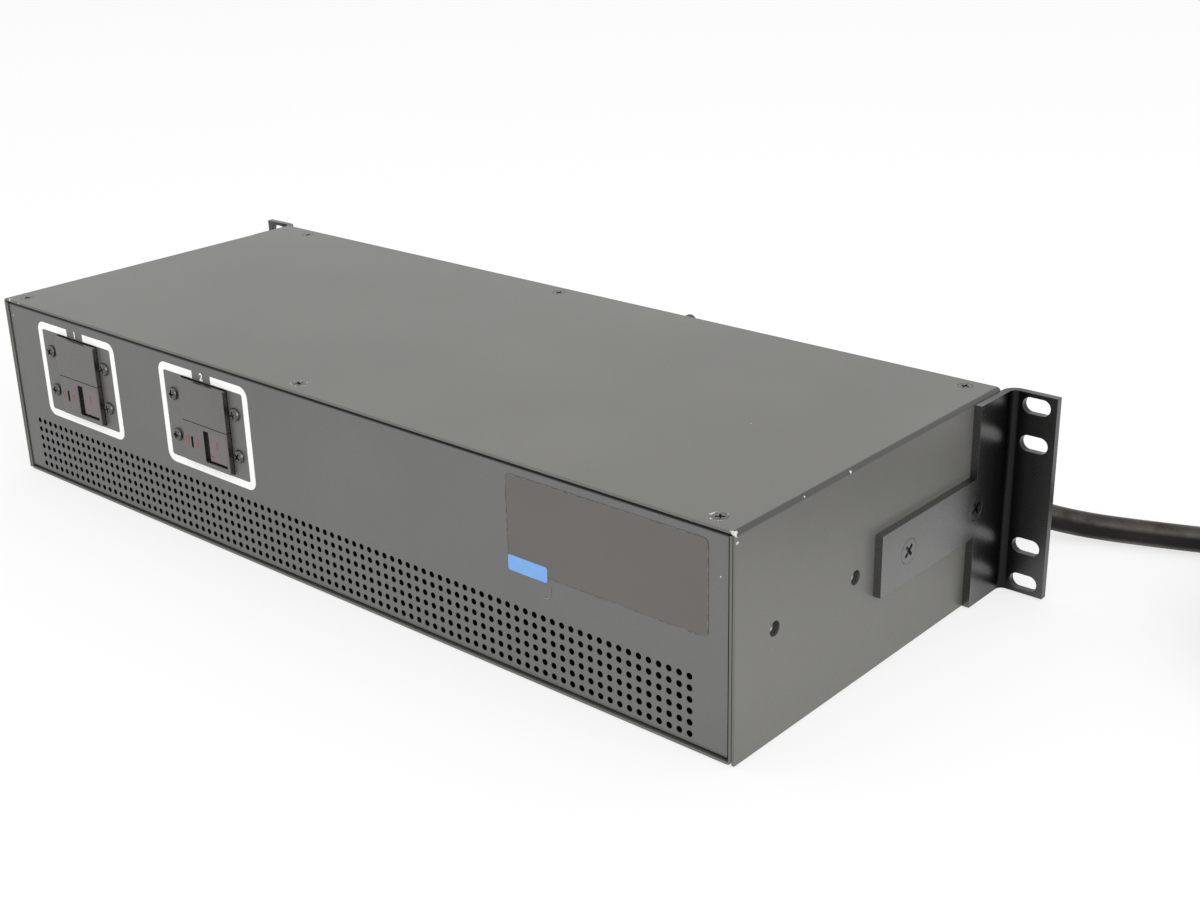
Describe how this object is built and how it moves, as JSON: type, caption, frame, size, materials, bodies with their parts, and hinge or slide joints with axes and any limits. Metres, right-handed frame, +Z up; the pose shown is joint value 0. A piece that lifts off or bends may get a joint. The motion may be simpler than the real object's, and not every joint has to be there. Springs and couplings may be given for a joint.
{
  "type": "rack power distribution unit",
  "caption": "Flat steel case with a perforated front, push-to-reset breakers, rear appliance outlets, rack brackets and a supply cord; shares mains power out in a rack.",
  "frame": {"origin": "centre of the case's underside", "axes": "+X to the right seen from the breaker side, +Y to the outlet side, +Z up"},
  "size_m": [0.7194, 0.3019, 0.088],
  "materials": {
    "powder_coat": "fine texture",
    "black_screw": "satin",
    "plated_steel": "satin",
    "breaker_case": "matt",
    "rocker_plastic": "satin",
    "outlet_plastic": "satin",
    "contact_metal": "bright",
    "circuit_board": "lacquered",
    "transformer_steel": "lacquered",
    "terminal_plastic": "matt",
    "cord_rubber": "matt",
    "plug_plastic": "matt",
    "tie_fabric": "woven"
  },
  "bodies": {
    "chassis": {"cover": "powder_coat", "base_tray": "powder_coat", "front_panel": "powder_coat", "rear_panel": "powder_coat", "cover_screws": "black_screw", "base_screws": "black_screw", "side_nuts": "plated_steel", "rack_bracket_right": "powder_coat", "rack_bracket_left": "powder_coat", "bracket_screws": "powder_coat", "breaker_screws": "black_screw", "breaker_terminals": "contact_metal", "network_faceplate": "powder_coat", "network_jacks": "plated_steel", "network_board": "circuit_board", "thumbscrews": "black_screw", "control_board": "circuit_board", "board_standoffs": "plated_steel", "supply_transformer": "transformer_steel", "current_sensors": "terminal_plastic", "input_terminal_block": "terminal_plastic", "earth_stud": "plated_steel", "cord_bushing": "cord_rubber", "bushing_nut": "plated_steel", "cord_lead": "cord_rubber", "cord_coil": "cord_rubber", "cord_tail": "cord_rubber", "cord_tie": "tie_fabric", "plug_body": "plug_plastic", "plug_cap": "plug_plastic", "plug_blades": "contact_metal", "breaker_1_blank_pole": "breaker_case", "breaker_1_switch_pole": "breaker_case", "breaker_2_blank_pole": "breaker_case", "breaker_2_switch_pole": "breaker_case", "outlet_housing_1": "outlet_plastic", "outlet_cores_1": "outlet_plastic", "outlet_busbars_1": "contact_metal", "outlet_housing_2": "outlet_plastic", "outlet_cores_2": "outlet_plastic", "outlet_busbars_2": "contact_metal", "outlet_housing_3": "outlet_plastic", "outlet_cores_3": "outlet_plastic", "outlet_busbars_3": "contact_metal", "outlet_housing_4": "outlet_plastic", "outlet_cores_4": "outlet_plastic", "outlet_busbars_4": "contact_metal"},
    "rocker_1": {"reset_rocker_1": "rocker_plastic"},
    "rocker_2": {"reset_rocker_2": "rocker_plastic"}
  },
  "joints": [
    {"name": "reset_1", "type": "hinge", "parent": "chassis", "child": "rocker_1", "pos_m": [-0.1614, -0.0817, 0.04888], "axis": [0, 0, -1], "range_deg": [0, 14]},
    {"name": "reset_2", "type": "hinge", "parent": "chassis", "child": "rocker_2", "pos_m": [-0.0653, -0.0817, 0.04888], "axis": [0, 0, -1], "range_deg": [0, 14]}
  ]
}
